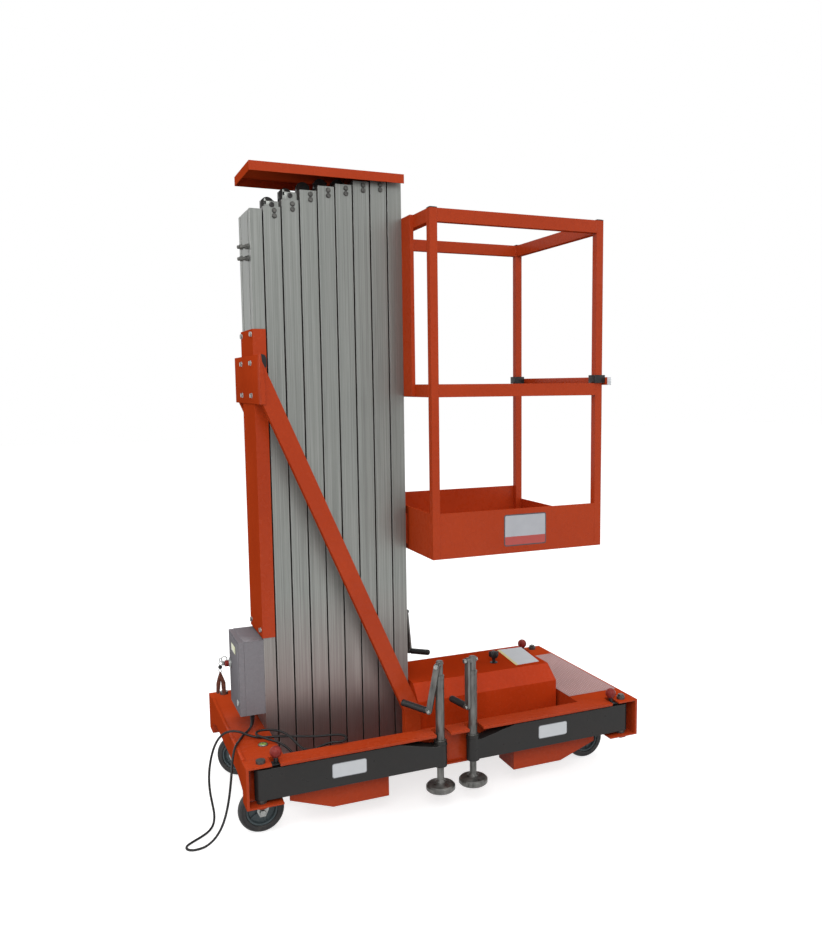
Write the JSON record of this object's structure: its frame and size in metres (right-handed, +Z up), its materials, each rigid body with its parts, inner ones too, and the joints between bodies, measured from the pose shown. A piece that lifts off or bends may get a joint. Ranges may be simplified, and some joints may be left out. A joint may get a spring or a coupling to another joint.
{
  "type": "vertical mast lift",
  "caption": "Push-around vertical mast lift with nested aluminium mast sections, a railed platform, folding outriggers with screw jacks and a wheeled base.",
  "frame": {"origin": "on the floor under the middle of the base frame", "axes": "+X from the mast towards the entry step, +Y to the far side, +Z up"},
  "size_m": [1.5022, 0.733, 2.0055],
  "materials": {
    "orange_paint": "gloss",
    "charcoal_paint": "semi-gloss",
    "box_paint": "semi-gloss",
    "mast_aluminium": "satin",
    "tread_metal": "patterned",
    "zinc_steel": "satin",
    "jack_steel": "weathered",
    "unit_steel": "rough",
    "black_plastic": "matt",
    "hub_plastic": "satin",
    "tyre_rubber": "matt",
    "cord_rubber": "satin",
    "knob_plastic": "gloss"
  },
  "bodies": {
    "base": {"side_rails": "orange_paint", "end_frames": "orange_paint", "mast_deck": "orange_paint", "step_plate": "tread_metal", "floor_pan": "orange_paint", "cross_members": "orange_paint", "skid_boxes": "orange_paint", "wheel_seats": "orange_paint", "rear_forks": "zinc_steel", "mast_column": "mast_aluminium", "column_sleeve": "orange_paint", "brace_bracket": "orange_paint", "braces": "orange_paint", "control_box": "box_paint", "cord_gland": "black_plastic", "power_cover": "orange_paint", "power_unit": "unit_steel", "cover_knob": "black_plastic", "lock_pins": "knob_plastic", "arm_pivots": "zinc_steel", "supply_cord": "cord_rubber", "cord_plug": "cord_rubber"},
    "mast_1": {"mast_section_1": "mast_aluminium"},
    "mast_2": {"mast_section_2": "mast_aluminium"},
    "mast_3": {"mast_section_3": "mast_aluminium"},
    "mast_4": {"mast_section_4": "mast_aluminium"},
    "mast_5": {"mast_section_5": "mast_aluminium"},
    "mast_6": {"mast_section_6": "mast_aluminium"},
    "mast_7": {"mast_section_7": "mast_aluminium"},
    "carriage": {"mast_section_8": "mast_aluminium", "mast_cap": "orange_paint", "basket_frame": "orange_paint", "kick_plates": "orange_paint", "basket_floor": "orange_paint", "back_panel": "orange_paint", "basket_mounts": "orange_paint"},
    "gate": {"gate_bar": "orange_paint"},
    "control_door": {"box_door": "box_paint"},
    "arm_left_near": {"outrigger_left_near": "charcoal_paint", "jack_left_near": "jack_steel"},
    "foot_left_near": {"jack_leg_left_near": "jack_steel"},
    "arm_left_far": {"outrigger_left_far": "charcoal_paint", "jack_left_far": "jack_steel"},
    "foot_left_far": {"jack_leg_left_far": "jack_steel"},
    "arm_right_near": {"outrigger_right_near": "charcoal_paint", "jack_right_near": "jack_steel"},
    "foot_right_near": {"jack_leg_right_near": "jack_steel"},
    "arm_right_far": {"outrigger_right_far": "charcoal_paint", "jack_right_far": "jack_steel"},
    "foot_right_far": {"jack_leg_right_far": "jack_steel"},
    "castor_wheel_near": {"castor_tyre_near": "tyre_rubber", "castor_hub_near": "hub_plastic"},
    "castor_swivel_near": {"castor_fork_near": "zinc_steel"},
    "castor_wheel_far": {"castor_tyre_far": "tyre_rubber", "castor_hub_far": "hub_plastic"},
    "castor_swivel_far": {"castor_fork_far": "zinc_steel"},
    "rear_wheel_near": {"rear_tyre_near": "tyre_rubber", "rear_hub_near": "hub_plastic"},
    "rear_wheel_far": {"rear_tyre_far": "tyre_rubber", "rear_hub_far": "hub_plastic"}
  },
  "joints": [
    {"name": "mast_slide_1", "type": "slide", "parent": "base", "child": "mast_1", "axis": [0, 0, 1], "range_m": [0, 1.1]},
    {"name": "mast_slide_2", "type": "slide", "parent": "mast_1", "child": "mast_2", "axis": [0, 0, 1], "range_m": [0, 1.1]},
    {"name": "mast_slide_3", "type": "slide", "parent": "mast_2", "child": "mast_3", "axis": [0, 0, 1], "range_m": [0, 1.1]},
    {"name": "mast_slide_4", "type": "slide", "parent": "mast_3", "child": "mast_4", "axis": [0, 0, 1], "range_m": [0, 1.1]},
    {"name": "mast_slide_5", "type": "slide", "parent": "mast_4", "child": "mast_5", "axis": [0, 0, 1], "range_m": [0, 1.1]},
    {"name": "mast_slide_6", "type": "slide", "parent": "mast_5", "child": "mast_6", "axis": [0, 0, 1], "range_m": [0, 1.1]},
    {"name": "mast_slide_7", "type": "slide", "parent": "mast_6", "child": "mast_7", "axis": [0, 0, 1], "range_m": [0, 1.1]},
    {"name": "mast_slide_8", "type": "slide", "parent": "mast_7", "child": "carriage", "axis": [0, 0, 1], "range_m": [0, 1.1]},
    {"name": "gate_slide", "type": "slide", "parent": "carriage", "child": "gate", "axis": [0, 0, 1], "range_m": [0, 0.42]},
    {"name": "control_door_hinge", "type": "hinge", "parent": "base", "child": "control_door", "pos_m": [-0.6172, 0.0924, 0.439], "axis": [0, 0, -1], "range_deg": [0, 110]},
    {"name": "outrigger_swing_left_near", "type": "hinge", "parent": "base", "child": "arm_left_near", "pos_m": [-0.622, -0.32, 0.2], "axis": [0, 0, -1], "range_deg": [0, 108]},
    {"name": "jack_screw_left_near", "type": "slide", "parent": "arm_left_near", "child": "foot_left_near", "axis": [0, 0, -1], "range_m": [-0.025, 0.12]},
    {"name": "outrigger_swing_left_far", "type": "hinge", "parent": "base", "child": "arm_left_far", "pos_m": [-0.622, 0.32, 0.2], "axis": [0, 0, 1], "range_deg": [0, 108]},
    {"name": "jack_screw_left_far", "type": "slide", "parent": "arm_left_far", "child": "foot_left_far", "axis": [0, 0, -1], "range_m": [-0.025, 0.12]},
    {"name": "outrigger_swing_right_near", "type": "hinge", "parent": "base", "child": "arm_right_near", "pos_m": [0.622, -0.32, 0.2], "axis": [0, 0, 1], "range_deg": [0, 108]},
    {"name": "jack_screw_right_near", "type": "slide", "parent": "arm_right_near", "child": "foot_right_near", "axis": [0, 0, -1], "range_m": [-0.025, 0.12]},
    {"name": "outrigger_swing_right_far", "type": "hinge", "parent": "base", "child": "arm_right_far", "pos_m": [0.622, 0.32, 0.2], "axis": [0, 0, -1], "range_deg": [0, 108]},
    {"name": "jack_screw_right_far", "type": "slide", "parent": "arm_right_far", "child": "foot_right_far", "axis": [0, 0, -1], "range_m": [-0.025, 0.12]},
    {"name": "castor_swivel_near", "type": "hinge", "parent": "base", "child": "castor_swivel_near", "pos_m": [-0.5795, -0.21, 0.18], "axis": [0, 0, 1], "continuous": true},
    {"name": "castor_wheel_near_spin", "type": "hinge", "parent": "castor_swivel_near", "child": "castor_wheel_near", "pos_m": [-0.6045, -0.21, 0.07], "axis": [0, 1, 0], "continuous": true},
    {"name": "castor_swivel_far", "type": "hinge", "parent": "base", "child": "castor_swivel_far", "pos_m": [-0.5795, 0.21, 0.18], "axis": [0, 0, 1], "continuous": true},
    {"name": "castor_wheel_far_spin", "type": "hinge", "parent": "castor_swivel_far", "child": "castor_wheel_far", "pos_m": [-0.59998, 0.22434, 0.07], "axis": [0.5736, 0.8192, 0], "continuous": true},
    {"name": "rear_wheel_near_spin", "type": "hinge", "parent": "base", "child": "rear_wheel_near", "pos_m": [0.575, -0.155, 0.07], "axis": [0, 1, 0], "continuous": true},
    {"name": "rear_wheel_far_spin", "type": "hinge", "parent": "base", "child": "rear_wheel_far", "pos_m": [0.575, 0.155, 0.07], "axis": [0, 1, 0], "continuous": true}
  ],
  "couplings": [
    {"joint": "mast_slide_2", "follows": "mast_slide_1", "ratio": 1},
    {"joint": "mast_slide_3", "follows": "mast_slide_1", "ratio": 1},
    {"joint": "mast_slide_4", "follows": "mast_slide_1", "ratio": 1},
    {"joint": "mast_slide_5", "follows": "mast_slide_1", "ratio": 1},
    {"joint": "mast_slide_6", "follows": "mast_slide_1", "ratio": 1},
    {"joint": "mast_slide_7", "follows": "mast_slide_1", "ratio": 1},
    {"joint": "mast_slide_8", "follows": "mast_slide_1", "ratio": 1}
  ]
}
